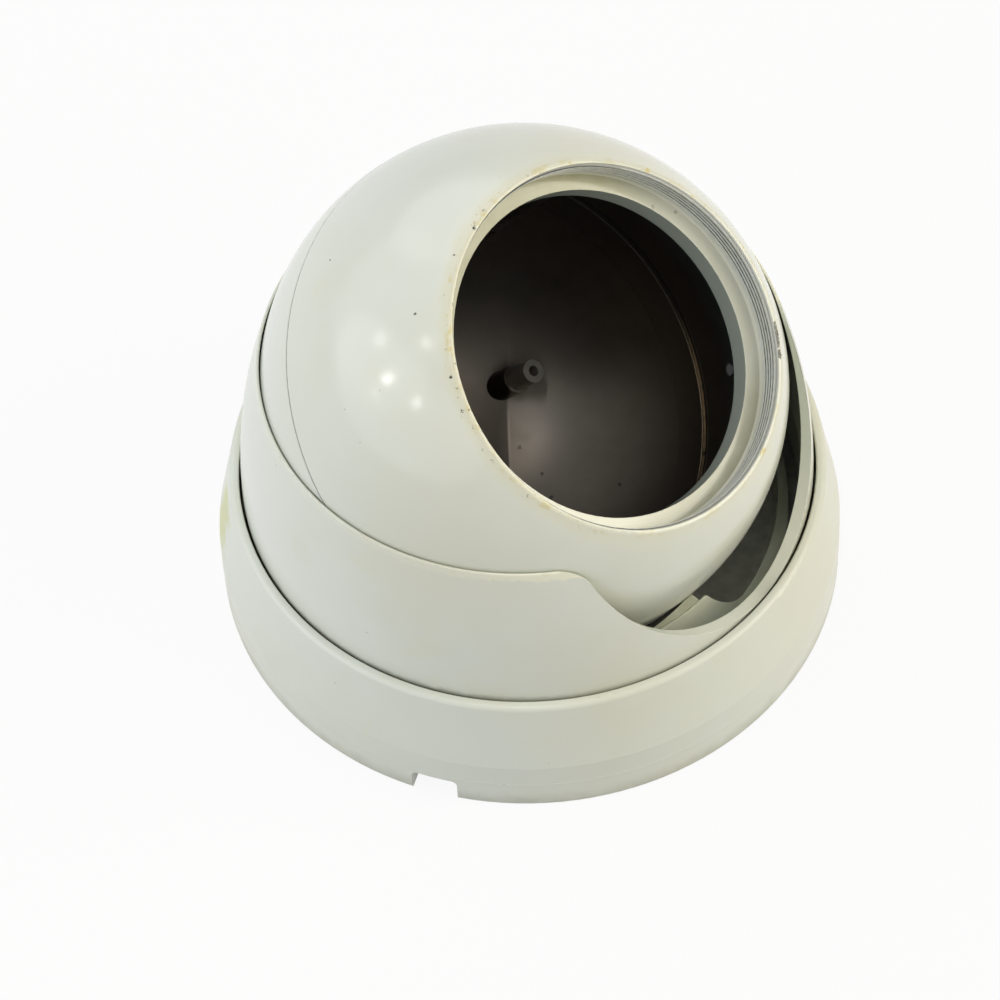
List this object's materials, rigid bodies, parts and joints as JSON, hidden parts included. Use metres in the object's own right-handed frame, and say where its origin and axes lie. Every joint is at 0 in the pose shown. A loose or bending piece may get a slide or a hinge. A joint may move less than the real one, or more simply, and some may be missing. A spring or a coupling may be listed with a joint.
{
  "type": "dome camera housing",
  "caption": "Empty eyeball dome housing for a surveillance camera: a base ring on a mounting plate, a turning collar with a scallop and a tilting hollow ball with a threaded opening.",
  "frame": {"origin": "middle of the mounting plane, under the base ring", "axes": "+Z away from the mounting surface, -Y to the front, where the collar is cut out and the opening looks"},
  "size_m": [0.115, 0.115, 0.0955],
  "materials": {
    "cream_paint": "glossy cream-white paint on cast metal, aged",
    "grey_casting": "satin grey-green painted casting",
    "pale_plastic": "smooth pale slide plastic",
    "black_rubber": "matt black rubber",
    "dark_steel": "darkened steel",
    "screw_steel": "plated steel"
  },
  "bodies": {
    "base": {"base_ring": "cream_paint", "mounting_plate": "grey_casting", "seat_ring": "grey_casting", "seat_pad_1": "pale_plastic", "seat_pad_2": "pale_plastic", "seat_pad_3": "pale_plastic", "seat_screws": "screw_steel", "glide_ring": "pale_plastic", "ring_lock_screw": "screw_steel", "pan_stop_pin": "screw_steel"},
    "collar": {"collar": "cream_paint", "ball_lock_screw": "screw_steel"},
    "ball": {"ball_front_shell": "cream_paint", "ball_rear_shell": "cream_paint", "seam_gasket": "black_rubber", "shell_screws": "screw_steel", "bracket_standoffs": "dark_steel", "cable_grommet": "black_rubber"}
  },
  "joints": [
    {"name": "collar_pan", "type": "hinge", "parent": "base", "child": "collar", "pos_m": [0, 0, 0], "axis": [0, 0, 1], "range_deg": [-175.5, 175.5]},
    {"name": "ball_tilt", "type": "hinge", "parent": "collar", "child": "ball", "pos_m": [0, 0, 0.0484], "axis": [1, 0, 0], "range_deg": [-37.5, 22]}
  ]
}
